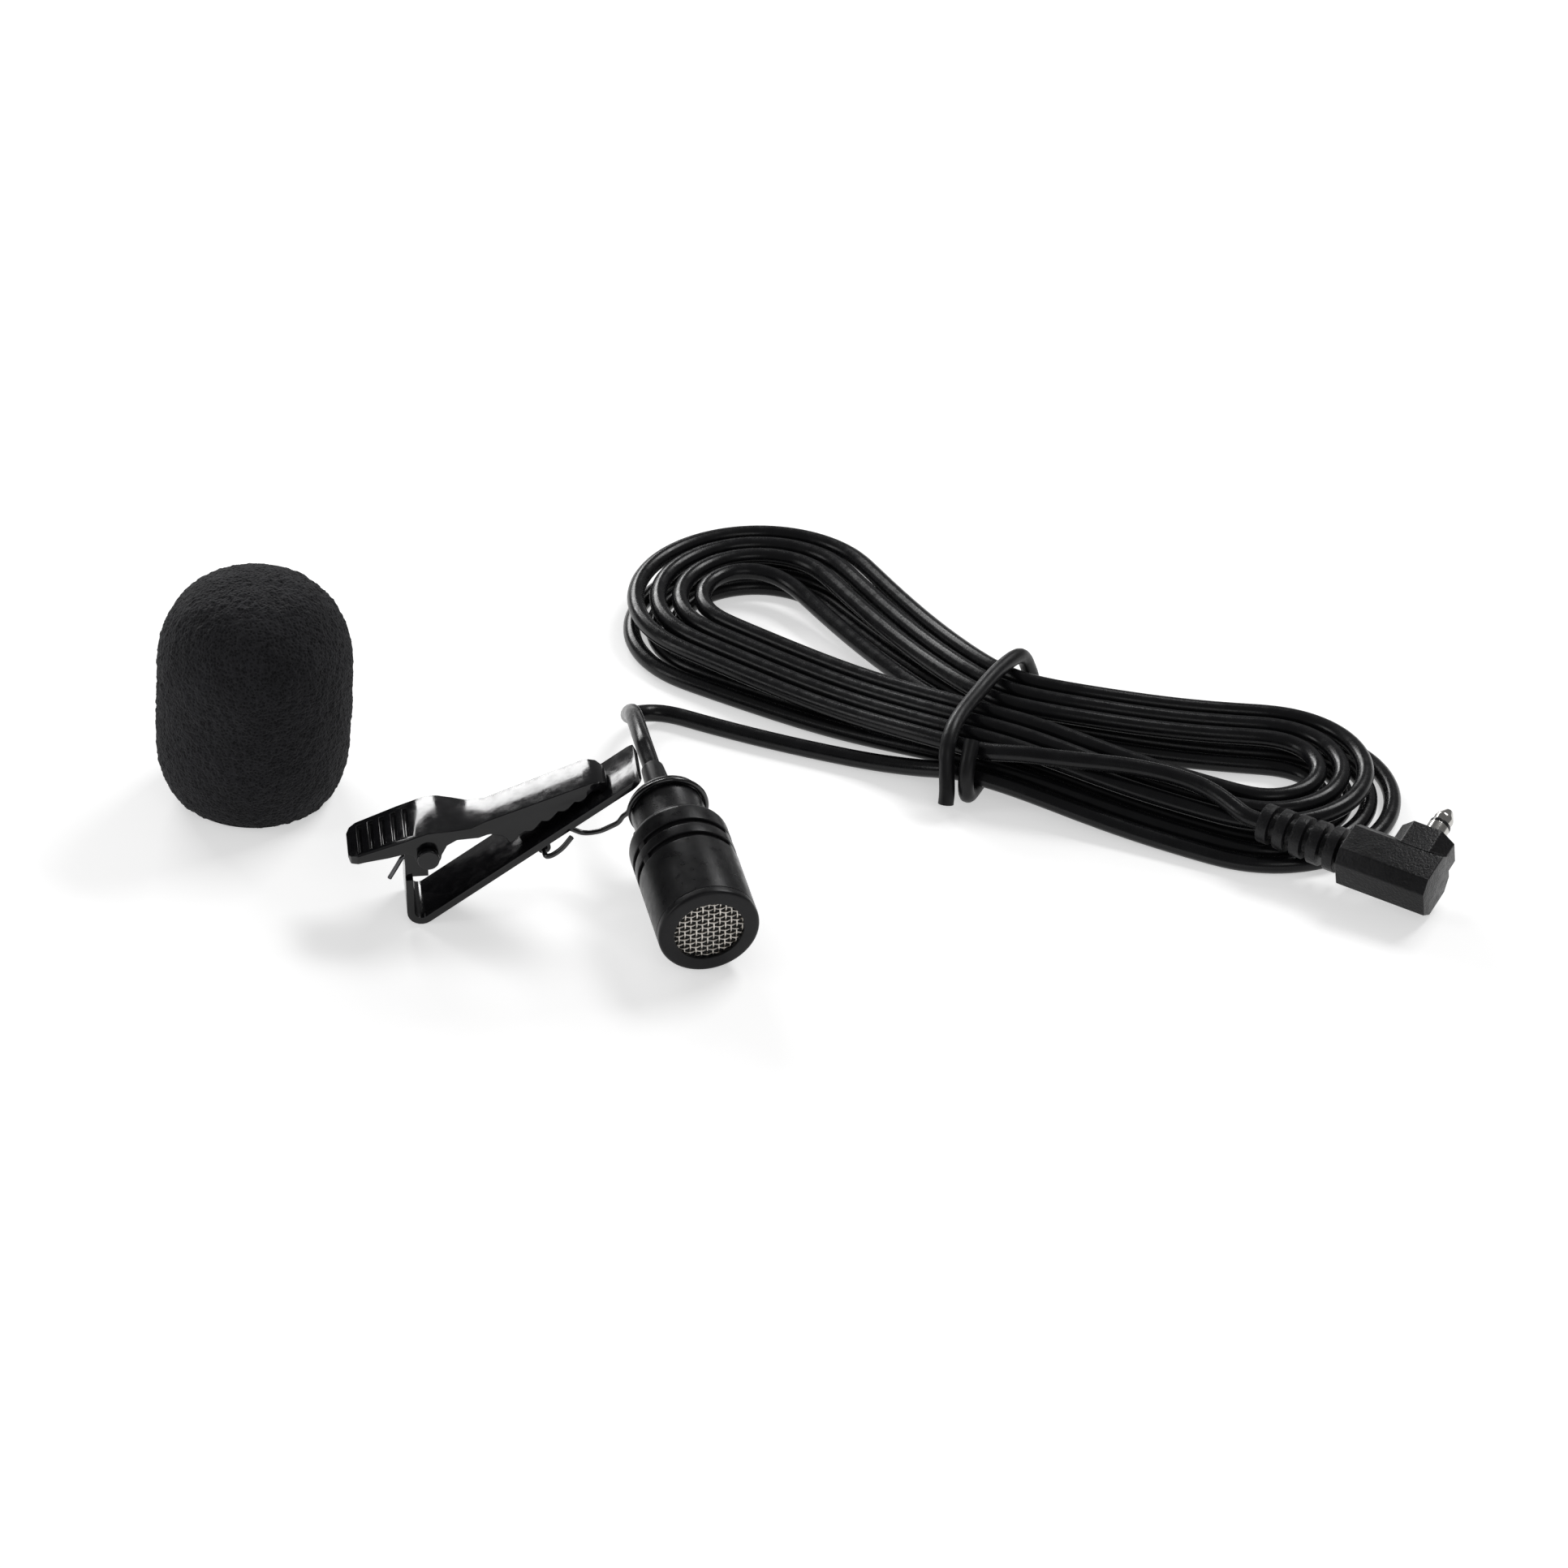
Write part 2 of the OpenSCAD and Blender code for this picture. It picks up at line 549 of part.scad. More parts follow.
// ================= Plug =================
module plug_relief() {
    ribs = 5;
    pitch = relief_len / ribs;
    color([0.045, 0.045, 0.05]) in_plug() rotate([0, -90, 0]) {
        bead(1.5, 0, relief_len, 32);
        for (i = [0:ribs - 1]) bead(2.55 - 0.08 * i, pitch * i + 0.75, pitch * i + 2.0, 32);
    }
}
// Eight-sided section of the body: cut corners on a rectangle
module body_section(w, h, cut) {
    x = w / 2;
    y = h / 2;
    polygon([
        [x - cut, -y], [x, -y + cut], [x, y - cut], [x - cut, y],
        [-x + cut, y], [-x, y - cut], [-x, -y + cut], [-x + cut, -y]
    ]);
}
module plug_body() {
    color([0.045, 0.045, 0.05]) in_plug() difference() {
        union() {
            rotate([90, 0, 90]) linear_extrude(body_len) body_section(body_w, body_h, 1.3);
            translate([pin_x - 3.2, 0, 0]) rotate([-90, 0, 0]) linear_extrude(boss_reach)
                translate([3.2, 0]) body_section(6.4, body_h - 0.1, 1.5);
        }
        translate([pin_x, -0.6, 0]) rotate([-90, 0, 0]) cylinder(r = stem_r + 0.01, h = far);
    }
}
module along_pin(y0, y1, r, sides = 48) {
    in_plug() translate([pin_x, y0, 0]) rotate([-90, 0, 0]) cylinder(r = r, h = y1 - y0, $fn = sides);
}
tip_len = 2.2;
gap_len = 0.4;
jack_r = jack_d / 2;
stem_r = jack_r - 0.15;  // the pin's eight-sided part inside the moulding
sleeve_end = boss_reach + jack_len - tip_len - gap_len;
module plug_sleeve() {
    color([0.75, 0.75, 0.77]) difference() {
        union() {
            along_pin(0.6, boss_reach + 0.5, stem_r, 8);
            along_pin(boss_reach + 0.01, sleeve_end, jack_r);
        }
        along_pin(0, far, 0.85);
    }
}
module plug_insulator() {
    color([0.03, 0.03, 0.03]) difference() {
        union() {
            along_pin(0.2, sleeve_end + gap_len, 0.83);
            along_pin(sleeve_end + 0.01, sleeve_end + gap_len, jack_r);
        }
        along_pin(0, far, 0.5);
    }
}
module plug_tip() {
    color([0.75, 0.75, 0.77]) {
        along_pin(-0.4, sleeve_end + gap_len + 0.5, 0.48);
        in_plug() translate([pin_x, sleeve_end + gap_len + 0.01, 0]) rotate([-90, 0, 0]) {
            cylinder(r1 = 0.9, r2 = jack_r - 0.1, h = 0.9);
            translate([0, 0, 0.9]) cylinder(r1 = jack_r - 0.1, r2 = 0.45, h = tip_len - 0.91);
        }
    }
}

mic_barrel();
front_bezel();
grille_mesh();
dust_felt();
capsule_holder();
capsule();
capsule_board();
lead_red();
lead_black();
cord_crimp();
mic_tail();
cord_boot();
holder_wire();
lower_jaw();
jaw_hinge_tube();
pivot_pin();
clip_spring();
upper_lever();
windscreen();
cord_lead();
cord_hank();
cord_tail();
wire_tie();
plug_relief();
plug_body();
plug_sleeve();
plug_insulator();
plug_tip();
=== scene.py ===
import math

import bpy
import bmesh
import numpy as np
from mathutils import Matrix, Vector, noise


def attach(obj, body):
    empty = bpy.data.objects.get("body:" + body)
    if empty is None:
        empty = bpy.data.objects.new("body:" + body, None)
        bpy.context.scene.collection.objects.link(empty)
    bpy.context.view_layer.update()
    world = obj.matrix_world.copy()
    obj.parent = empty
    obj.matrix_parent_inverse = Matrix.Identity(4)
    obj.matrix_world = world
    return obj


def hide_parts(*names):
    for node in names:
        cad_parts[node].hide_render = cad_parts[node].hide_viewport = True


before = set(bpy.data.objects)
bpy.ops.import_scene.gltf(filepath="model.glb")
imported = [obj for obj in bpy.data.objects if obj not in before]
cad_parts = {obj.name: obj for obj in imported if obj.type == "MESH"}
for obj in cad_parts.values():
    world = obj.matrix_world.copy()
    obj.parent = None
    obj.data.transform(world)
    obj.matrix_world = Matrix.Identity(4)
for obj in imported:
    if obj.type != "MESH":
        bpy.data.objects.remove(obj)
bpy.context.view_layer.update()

MM = 0.001  # the lengths below are in millimetres


# ------------------------------------------------------------------ camera
CAMERA_AIM = (36.5, 14.4, 0.0)
CAMERA_ELEVATION = 33.0
CAMERA_DISTANCE_M = 0.7
SENSOR_WIDTH, LENS = 36.0, 142.2


def add_camera():
    target = Vector(CAMERA_AIM) * MM
    elevation = math.radians(CAMERA_ELEVATION)
    data = bpy.data.cameras.new("camera")
    data.sensor_width = SENSOR_WIDTH
    data.lens = LENS
    data.clip_start = 0.01
    data.clip_end = 20.0
    camera = bpy.data.objects.new("camera", data)
    bpy.context.collection.objects.link(camera)
    camera.location = target + CAMERA_DISTANCE_M * Vector((0.0, -math.cos(elevation), math.sin(elevation)))
    camera.rotation_euler = (math.pi / 2 - elevation, 0.0, 0.0)
    bpy.context.scene.camera = camera


add_camera()


# ------------------------------------------------------------------ geometry helpers
def unit(v):
    return v / np.linalg.norm(v)


def catmull(points, steps):
    """A smooth line through points, with steps to each gap between them."""
    p = [np.array(q, float) for q in points]
    out = []
    for i in range(len(p) - 1):
        a, b, c, d = p[max(i - 1, 0)], p[i], p[i + 1], p[min(i + 2, len(p) - 1)]
        for k in range(steps):
            t = k / steps
            square = (2 * a - 5 * b + 4 * c - d) * t * t
            cube = (3 * b - a - 3 * c + d) * t**3
            out.append(0.5 * (2 * b + (c - a) * t + square + cube))
    out.append(p[-1])
    return np.array(out)


def run_length(points):
    return float(np.linalg.norm(np.diff(points, axis=0), axis=1).sum())


def even(points, step):
    """The same line with its points an even distance apart."""
    d = np.concatenate([[0], np.cumsum(np.linalg.norm(np.diff(points, axis=0), axis=1))])
    n = max(2, int(round(d[-1] / step)) + 1)
    s = np.linspace(0, d[-1], n)
    return np.stack([np.interp(s, d, points[:, k]) for k in range(3)], axis=1)


def soften(points, rounds, keep=2):
    """The same line with its kinks averaged out, and its first and last points kept."""
    p = points.copy()
    for _ in range(rounds):
        q = p.copy()
        q[1:-1] = 0.25 * p[:-2] + 0.5 * p[1:-1] + 0.25 * p[2:]
        q[:keep] = points[:keep]
        q[-keep:] = points[-keep:]
        p = q
    return p


def curve_tube(name, points, radius, resolution=6):
    """A round tube along points in millimetres, as one open curve."""
    data = bpy.data.curves.new(name, "CURVE")
    data.dimensions = "3D"
    data.bevel_depth = radius * MM
    data.bevel_resolution = resolution
    data.use_fill_caps = True
    data.twist_mode = "MINIMUM"
    line = data.splines.new("POLY")
    line.points.add(len(points) - 1)
    for point, p in zip(line.points, points):
        point.co = (p[0] * MM, p[1] * MM, p[2] * MM, 1.0)
    line.use_smooth = True
    obj = bpy.data.objects.new(name, data)
    bpy.context.collection.objects.link(obj)
    return obj


def mesh_object(name, verts, faces, smooth_angle=35.0):
    mesh = bpy.data.meshes.new(name)
    mesh.from_pydata([tuple(v) for v in verts], [], [tuple(f) for f in faces])
    obj = bpy.data.objects.new(name, mesh)
    bpy.context.collection.objects.link(obj)
    tidy_normals(mesh, smooth_angle)
    return obj


def tidy_normals(mesh, smooth_angle):
    """Welds the mesh, turns its faces outward and smooths the edges below smooth_angle degrees."""
    bm = bmesh.new()
    bm.from_mesh(mesh)
    bmesh.ops.remove_doubles(bm, verts=bm.verts, dist=1e-7)
    bmesh.ops.recalc_face_normals(bm, faces=bm.faces)
    limit = math.radians(smooth_angle)
    for face in bm.faces:
        face.smooth = True
    for edge in bm.edges:
        edge.smooth = len(edge.link_faces) == 2 and edge.calc_face_angle(0.0) < limit
    bm.to_mesh(mesh)
    bm.free()


def tube_parts(points, radius, sides):
    """Vertices and faces of a tube along points, both ends closed."""
    p = np.asarray(points, float)
    verts, faces, side = [], [], None
    for i in range(len(p)):
        t = unit(p[min(i + 1, len(p) - 1)] - p[max(i - 1, 0)])
        if side is None:
            side = np.array([0.0, 0.0, 1.0]) if abs(t[2]) < 0.9 else np.array([1.0, 0.0, 0.0])
        side = unit(side - (side @ t) * t)
        other = np.cross(t, side)
        for k in range(sides):
            a = 2 * math.pi * k / sides
            verts.append(p[i] + radius * (math.cos(a) * side + math.sin(a) * other))
    for i in range(len(p) - 1):
        for k in range(sides):
            a, b = i * sides + k, i * sides + (k + 1) % sides
            faces.append((a, b, b + sides, a + sides))
    faces.append(tuple(range(sides))[::-1])
    faces.append(tuple(range((len(p) - 1) * sides, len(p) * sides)))
    return verts, faces


def many_tubes(name, lines, radius, sides, place):
    """One mesh of straight-ended tubes, one along each line."""
    verts, faces = [], []
    for line in lines:
        v, f = tube_parts(line, radius, sides)
        base = len(verts)
        verts.extend(v)
        faces.extend([tuple(i + base for i in face) for face in f])
    return mesh_object(name, [np.asarray(place(v)) * MM for v in verts], faces, 50.0)


def lathe(name, profile, place, segments=160, smooth_angle=30.0, shape=None):
    """Turns a closed (radius, length) outline about the local Z axis."""
    verts, faces = [], []
    n = len(profile)
    for k in range(segments):
        a = 2 * math.pi * k / segments
        for r, z in profile:
            q = shape(r, z, math.degrees(a)) if shape else r
            verts.append(np.asarray(place((q * math.cos(a), q * math.sin(a), z))) * MM)
    for k in range(segments):
        for i in range(n):
            a, b = k * n + i, k * n + (i + 1) % n
            c, d = ((k + 1) % segments) * n + (i + 1) % n, ((k + 1) % segments) * n + i
            faces.append((a, b, c, d))
    return mesh_object(name, verts, faces, smooth_angle)


SHARP_EDGE, SPLIT_EDGE, FLAT_FACES = 30.0, 32.0, 1.0
WELD_M = 2e-6


def bevel(obj, width, segments):
    m = obj.modifiers.new("soft_edges", "BEVEL")
    m.width = width * MM
    m.segments = segments
    m.limit_method = "ANGLE"
    m.angle_limit = math.radians(SHARP_EDGE)
    m.harden_normals = False


def dress(node, material, width=0.0, segments=3):
    """A CAD node shown as it is, with softened edges and smooth faces."""
    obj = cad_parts[node]
    for face in obj.data.polygons:
        face.use_smooth = True
    weld = obj.modifiers.new("weld", "WELD")
    weld.merge_threshold = WELD_M
    flat = obj.modifiers.new("flat", "DECIMATE")
    flat.decimate_type = "DISSOLVE"
    flat.angle_limit = math.radians(FLAT_FACES)
    if width:
        bevel(obj, width, segments)
    split = obj.modifiers.new("split", "EDGE_SPLIT")
    split.split_angle = math.radians(SPLIT_EDGE)
    obj.data.materials.clear()
    obj.data.materials.append(material)


# ------------------------------------------------------------------ frames of the pieces
def rotation(axis, degrees):
    a = math.radians(degrees)
    c, s = math.cos(a), math.sin(a)
    if axis == "x":
        return np.array([[1, 0, 0], [0, c, -s], [0, s, c]])
    if axis == "y":
        return np.array([[c, 0, s], [0, 1, 0], [-s, 0, c]])
    return np.array([[c, -s, 0], [s, c, 0], [0, 0, 1]])


TILT, TURN = 8.0, 14.0
HEAD_R = 5.6
MIC_FRONT = np.array([28.5, -23.3, HEAD_R * math.cos(math.radians(TILT))])
MIC_TURN = rotation("z", TURN) @ rotation("x", -(90.0 - TILT))
CLIP_AT = np.array([-4.3, -10.2, 0.0])
CLIP_TURN = rotation("z", 6.5)
HANK_AT = np.array([61.4, 20.4, 0.0])
HANK_TURN = rotation("z", -25.0)
RELIEF_START = np.array([89.4, -1.3, 5.2])
PLUG_TURN = rotation("z", -31.0) @ rotation("y", 3.2) @ rotation("x", 17.0)
RELIEF_LEN = 10.5


def in_mic(p):
    return MIC_FRONT + MIC_TURN @ np.asarray(p, float)


def in_clip(p):
    return CLIP_AT + CLIP_TURN @ np.asarray(p, float)


def on_hank(p):
    return HANK_AT + HANK_TURN @ np.asarray(p, float)


def in_plug(p):
    return RELIEF_START + PLUG_TURN @ (np.asarray(p, float) + np.array([RELIEF_LEN, 0.0, 0.0]))


# ------------------------------------------------------------------ materials
def surface(
    name,
    colour,
    rough,
    metallic=0.0,
    var=0.25,
    var_scale=400.0,
    grain=0.04,
    grain_scale=6000.0,
    rough_var=0.08,
    rough_scale=900.0,
    coat=0.0,
    coat_rough=0.1,
    specular=0.5,
    sheen=0.0,
    distance=0.00004,
):
    """A procedural material: colour and roughness vary softly, and a fine grain lifts the surface."""
    m = bpy.data.materials.new(name)
    m.use_nodes = True
    nodes, links = m.node_tree.nodes, m.node_tree.links
    shader = nodes["Principled BSDF"]
    coords = nodes.new("ShaderNodeTexCoord")

    def cloud(scale, detail):
        n = nodes.new("ShaderNodeTexNoise")
        n.inputs["Scale"].default_value = scale
        n.inputs["Detail"].default_value = detail
        n.inputs["Roughness"].default_value = 0.55
        links.new(coords.outputs["Object"], n.inputs["Vector"])
        return n.outputs["Fac"]

    ramp = nodes.new("ShaderNodeValToRGB")
    low = [c * (1 - var) for c in colour]
    high = [min(1.0, c * (1 + var)) for c in colour]
    ramp.color_ramp.elements[0].position = 0.32
    ramp.color_ramp.elements[1].position = 0.68
    ramp.color_ramp.elements[0].color = (*low, 1)
    ramp.color_ramp.elements[1].color = (*high, 1)
    links.new(cloud(var_scale, 5.0), ramp.inputs["Fac"])
    links.new(ramp.outputs["Color"], shader.inputs["Base Color"])
    spread_rough = nodes.new("ShaderNodeMapRange")
    spread_rough.inputs["From Min"].default_value = 0.3
    spread_rough.inputs["From Max"].default_value = 0.7
    spread_rough.inputs["To Min"].default_value = max(0.02, rough - rough_var)
    spread_rough.inputs["To Max"].default_value = min(1.0, rough + rough_var)
    links.new(cloud(rough_scale, 4.0), spread_rough.inputs["Value"])
    links.new(spread_rough.outputs["Result"], shader.inputs["Roughness"])
    bump = nodes.new("ShaderNodeBump")
    bump.inputs["Strength"].default_value = grain
    bump.inputs["Distance"].default_value = distance
    links.new(cloud(grain_scale, 3.0), bump.inputs["Height"])
    links.new(bump.outputs["Normal"], shader.inputs["Normal"])
    shader.inputs["Metallic"].default_value = metallic
    shader.inputs["Specular IOR Level"].default_value = specular
    shader.inputs["Coat Weight"].default_value = coat
    shader.inputs["Coat Roughness"].default_value = coat_rough
    shader.inputs["Sheen Weight"].default_value = sheen
    return m


BARREL = surface(
    "barrel_black", (0.009, 0.009, 0.01), 0.33,
    metallic=0.2, grain=0.25, grain_scale=9000.0, specular=0.25,
)
TAIL = surface("tail_black", (0.009, 0.009, 0.01), 0.3, metallic=0.2, grain=0.2, grain_scale=9000.0)
GLOSS = surface(
    "clip_black", (0.006, 0.006, 0.007), 0.14,
    grain=0.12, grain_scale=1600.0, coat=0.15, coat_rough=0.08, specular=0.3,
)
WIRE = surface("wire_black", (0.008, 0.008, 0.009), 0.2, grain=0.1, grain_scale=2500.0, coat=0.3)
SPRING = surface("spring_steel", (0.1, 0.1, 0.105), 0.28, metallic=0.9, grain=0.1)
MESH = surface(
    "grille_steel", (0.58, 0.55, 0.51), 0.3,
    metallic=1.0, grain=0.15, var=0.3, var_scale=900.0,
)
CORD = surface("cord_pvc", (0.006, 0.006, 0.007), 0.26, grain=0.2, grain_scale=2600.0, specular=0.25)
TIE = surface("tie_pvc", (0.008, 0.008, 0.009), 0.38, grain=0.3, grain_scale=2200.0, specular=0.25)
BOOT = surface(
    "boot_rubber", (0.007, 0.007, 0.008), 0.38,
    grain=0.25, grain_scale=3000.0, specular=0.25,
)
PLUG = surface(
    "plug_pvc", (0.008, 0.008, 0.009), 0.36,
    grain=0.7, grain_scale=3600.0, specular=0.25, distance=0.0001,
)
PLATING = surface(
    "pin_nickel", (0.5, 0.49, 0.47), 0.18,
    metallic=1.0, var=0.04, grain=0.03, rough_var=0.04,
)
INSULATOR = surface("insulator_black", (0.01, 0.01, 0.01), 0.25, grain=0.05)
FELT = surface("dust_felt", (0.02, 0.02, 0.02), 0.95, grain=0.8, grain_scale=5000.0, sheen=0.2)
RUBBER = surface("inner_rubber", (0.02, 0.02, 0.02), 0.7, grain=0.3, grain_scale=4000.0)
CAPSULE = surface("capsule_aluminium", (0.62, 0.62, 0.64), 0.3, metallic=1.0, var=0.08, grain=0.1)
BOARD = surface("board_green", (0.02, 0.12, 0.05), 0.45, grain=0.2, grain_scale=5000.0)
RED = surface("lead_red_pvc", (0.35, 0.02, 0.02), 0.4, grain=0.1)
BRASS = surface("crimp_brass", (0.55, 0.42, 0.22), 0.3, metallic=1.0, var=0.1, grain=0.1)


# ------------------------------------------------------------------ cord
CORD_R = 1.0
BOOT_END = 27.5
TURNS = 7
PITCH = 2.6
WAIST_START = 3.75
LEFT_BENDS = np.array([[-36.8, 11.6], [-37.4, 14.6]])
RIGHT_BENDS = np.array([[31.0, 3.6], [30.0, 4.6]])
LEFT_IN, RIGHT_IN = 16.5, 14.6
WAIST_SOFT = 6.0
WAIST_LEAST = 0.1
WAIST_LIFT, WAIST_SPREAD = 2.15, 15.0
MIDDLE = TURNS / 2
LAYER_TURNS, SHIFT_LATE = 0.2, 0.08  # share of a turn over which the cord climbs to the second layer
TURN_STEPS = 144
CORD_STEP = 0.9


def smooth(t):
    """A soft step from 0 to 1."""
    t = max(0.0, min(1.0, t))
    return t * t * (3 - 2 * t)


def depth(turn):
    """Strands between this one and the outermost, going in and then out again."""
    return turn if turn < MIDDLE + 0.25 else 2 * (MIDDLE + 0.25) - turn


def waist_half(turn):
    return PITCH * max(WAIST_LEAST, WAIST_START - depth(turn))


def touch(centre, r, waist, side):
    """Angle, seen from a bend's centre, where a run from the waist touches it."""
    v = np.array([0.0, waist]) - centre
    a = math.degrees(math.atan2(v[1], v[0]))
    if centre[0] > 0:
        a = (a + 360) % 360
    return a + side * math.degrees(math.acos(r / np.linalg.norm(v)))


def on_circle(centre, r, degrees):
    a = math.radians(degrees)
    return centre + r * np.array([math.cos(a), math.sin(a)])


def hank_run(waist, end, t):
    """A point on the run from the waist to a bend."""
    full = math.hypot(end[0], WAIST_SOFT) - WAIST_SOFT
    ease = (math.hypot(end[0] * t, WAIST_SOFT) - WAIST_SOFT) / full
    return np.array([end[0] * t, waist + (end[1] - waist) * ease])


def hank_flat(turn):
    """The hank's route from above: a run, a bend and a run on each half turn."""
    f, w = turn - math.floor(turn), waist_half(turn)
    right = f < 0.5
    bends = RIGHT_BENDS if right else LEFT_BENDS
    r = (RIGHT_IN if right else LEFT_IN) - PITCH * depth(turn)
    over = smooth((turn - MIDDLE - SHIFT_LATE) / LAYER_TURNS)
    centre = bends[0] * (1 - over) + bends[1] * over
    side = 1 if right else -1
    near = touch(centre, r, -w, side) - 360 * side
    away = touch(centre, r, w, -side)
    if not right:
        near, away, w = away, near, -w
        f -= 0.5
    if f < 0.125:
        return hank_run(-w, on_circle(centre, r, near), f / 0.125)
    if f < 0.375:
        return on_circle(centre, r, near + (away - near) * (f - 0.125) / 0.25)
    return hank_run(w, on_circle(centre, r, away), (0.5 - f) / 0.125)


def hank_point(turn):
    x, y = hank_flat(turn)
    z = CORD_R + WAIST_LIFT * math.exp(-((x / WAIST_SPREAD) ** 2))
    z = z + PITCH * smooth((turn - MIDDLE) / LAYER_TURNS)
    return on_hank((x, y, z))


def make_cord():
    rear = MIC_TURN @ np.array([0.0, 0.0, 1.0])
    boot_tip = in_mic((0, 0, BOOT_END))
    hank = np.array([hank_point(i / TURN_STEPS) for i in range(TURNS * TURN_STEPS + 1)])
    lead = catmull(
        [boot_tip, boot_tip + 2.5 * rear, boot_tip + 5 * rear]
        + [[19.6, 15.5, 8.6], [19.2, 19.3, 6.5], [18.9, 22.2, 4.4], [18.8, 24.3, 2.9], [19.3, 26.3, 1.75]]
        + [[20.9, 27.7, 1.2], [23.3, 27.6, 1.05], [27.3, 25.5, 1.05], [34.0, 22.3, 1.05], [41.0, 19.3, 1.1]]
        + [[47.0, 16.7, 1.4], [52.5, 14.2, 2.2], hank[0] - 0.15 * (hank[6] - hank[0]), hank[0]],
        12,
    )
    plug_way = PLUG_TURN @ np.array([1.0, 0.0, 0.0])
    tail = catmull(
        [hank[-1], hank[-1] + 0.12 * (hank[-1] - hank[-7]), [62.8, 10.8, 6.4], [66.5, 9.7, 6.55]]
        + [[70.0, 8.8, 6.65], [74.0, 8.1, 6.6], [79.0, 6.9, 6.25], [83.8, 3.9, 6.1]]
        + [RELIEF_START - 2.2 * plug_way, RELIEF_START],
        12,
    )
    line = even(np.concatenate([lead, hank[1:], tail[1:]]), CORD_STEP)
    line = soften(line, 6, keep=5)
    length = run_length(line)
    cord = curve_tube("cord", line, CORD_R, 6)
    cord.data.materials.append(CORD)
    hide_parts("cord_lead", "cord_hank", "cord_tail")
    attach(cord, "microphone")
    print("cord length mm", round(length, 1))
    return cord, boot_tip, length


CORD_OBJ, BOOT_TIP, CORD_LENGTH = make_cord()


TIE_R = 0.9


def make_tie():
    route = [
        [0.3, -9.7, 7.7], [0.5, -11.3, 5.8], [0.6, -12.0, 3.4], [0.5, -11.1, 1.3], [0.3, -7.5, 0.95],
        [0.0, -1.0, 0.95], [-0.4, 4.5, 0.95], [-0.8, 9.4, 1.05], [-1.2, 11.4, 2.3], [-1.7, 11.4, 4.6],
        [-2.2, 9.7, 7.3], [-2.8, 5.0, 7.9], [-3.0, -1.0, 7.9], [-2.8, -7.0, 7.9], [-2.3, -10.6, 6.8],
        [-1.7, -12.1, 4.4], [-1.3, -12.9, 2.4], [-1.2, -13.4, 1.0],
    ]
    line = even(catmull([on_hank(p) for p in route], 14), 0.5)
    tie = curve_tube("tie", line, TIE_R, 6)
    tie.data.materials.append(TIE)
    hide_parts("wire_tie")
    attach(tie, "microphone")
    return tie


TIE_OBJ = make_tie()


# ------------------------------------------------------------------ windscreen
FOAM_AT = np.array([-23.6, 13.4, 0.0])
FOAM_LEAN = 4.0
FOAM_R, FOOT_R, FOOT_H = 11.0, 7.8, 8.0
DOME_AT, DOME_H, DOME_POWER = 16.8, 10.5, 0.75
FOAM_TOP = 27.2
BORE_R, BORE_DEPTH = 4.2, 16.0
FOAM_SEGMENTS = 300


def foam_material():
    m = bpy.data.materials.new("foam")
    m.use_nodes = True
    nodes, links = m.node_tree.nodes, m.node_tree.links
    shader = nodes["Principled BSDF"]
    coords = nodes.new("ShaderNodeTexCoord")
    cells = nodes.new("ShaderNodeTexVoronoi")
    cells.feature = "F1"
    cells.inputs["Scale"].default_value = 3000.0
    fine = nodes.new("ShaderNodeTexNoise")
    fine.inputs["Scale"].default_value = 5200.0
    fine.inputs["Detail"].default_value = 6.0
    fine.inputs["Roughness"].default_value = 0.65
    broad = nodes.new("ShaderNodeTexNoise")
    broad.inputs["Scale"].default_value = 260.0
    broad.inputs["Detail"].default_value = 3.0
    for n in (cells, fine, broad):
        links.new(coords.outputs["Object"], n.inputs["Vector"])
    pores = nodes.new("ShaderNodeMapRange")
    pores.inputs["From Min"].default_value = 0.15
    pores.inputs["From Max"].default_value = 0.75
    links.new(cells.outputs["Distance"], pores.inputs["Value"])
    pore_relief_and_shade = nodes.new("ShaderNodeMath")
    pore_relief_and_shade.operation = "MULTIPLY_ADD"
    pore_relief_and_shade.inputs[1].default_value = 0.6
    links.new(fine.outputs["Fac"], pore_relief_and_shade.inputs[0])
    links.new(pores.outputs["Result"], pore_relief_and_shade.inputs[2])
    # The colour follows the same pore and grain field as the bump, darkest where the bump dips into the
    # pores: painted shade in the pores.
    ramp = nodes.new("ShaderNodeValToRGB")
    ramp.color_ramp.elements[0].position = 0.25
    ramp.color_ramp.elements[1].position = 1.0
    ramp.color_ramp.elements[0].color = (0.003, 0.003, 0.004, 1)
    ramp.color_ramp.elements[1].color = (0.024, 0.024, 0.027, 1)
    links.new(pore_relief_and_shade.outputs["Value"], ramp.inputs["Fac"])
    tone = nodes.new("ShaderNodeMapRange")
    tone.inputs["From Min"].default_value = 0.3
    tone.inputs["From Max"].default_value = 0.7
    tone.inputs["To Min"].default_value = 0.8
    tone.inputs["To Max"].default_value = 1.2
    links.new(broad.outputs["Fac"], tone.inputs["Value"])
    scale = nodes.new("ShaderNodeVectorMath")
    scale.operation = "SCALE"
    links.new(ramp.outputs["Color"], scale.inputs[0])
    links.new(tone.outputs["Result"], scale.inputs["Scale"])
    links.new(scale.outputs["Vector"], shader.inputs["Base Color"])
    bump = nodes.new("ShaderNodeBump")
    bump.inputs["Strength"].default_value = 0.9
    bump.inputs["Distance"].default_value = 0.00016
    links.new(pore_relief_and_shade.outputs["Value"], bump.inputs["Height"])
    links.new(bump.outputs["Normal"], shader.inputs["Normal"])
    rough = nodes.new("ShaderNodeMapRange")
    rough.inputs["To Min"].default_value = 0.82
    rough.inputs["To Max"].default_value = 0.98
    links.new(fine.outputs["Fac"], rough.inputs["Value"])
    links.new(rough.outputs["Result"], shader.inputs["Roughness"])
    shader.inputs["Specular IOR Level"].default_value = 0.25
    shader.inputs["Sheen Weight"].default_value = 0.05
    shader.inputs["Sheen Roughness"].default_value = 0.5
    return m


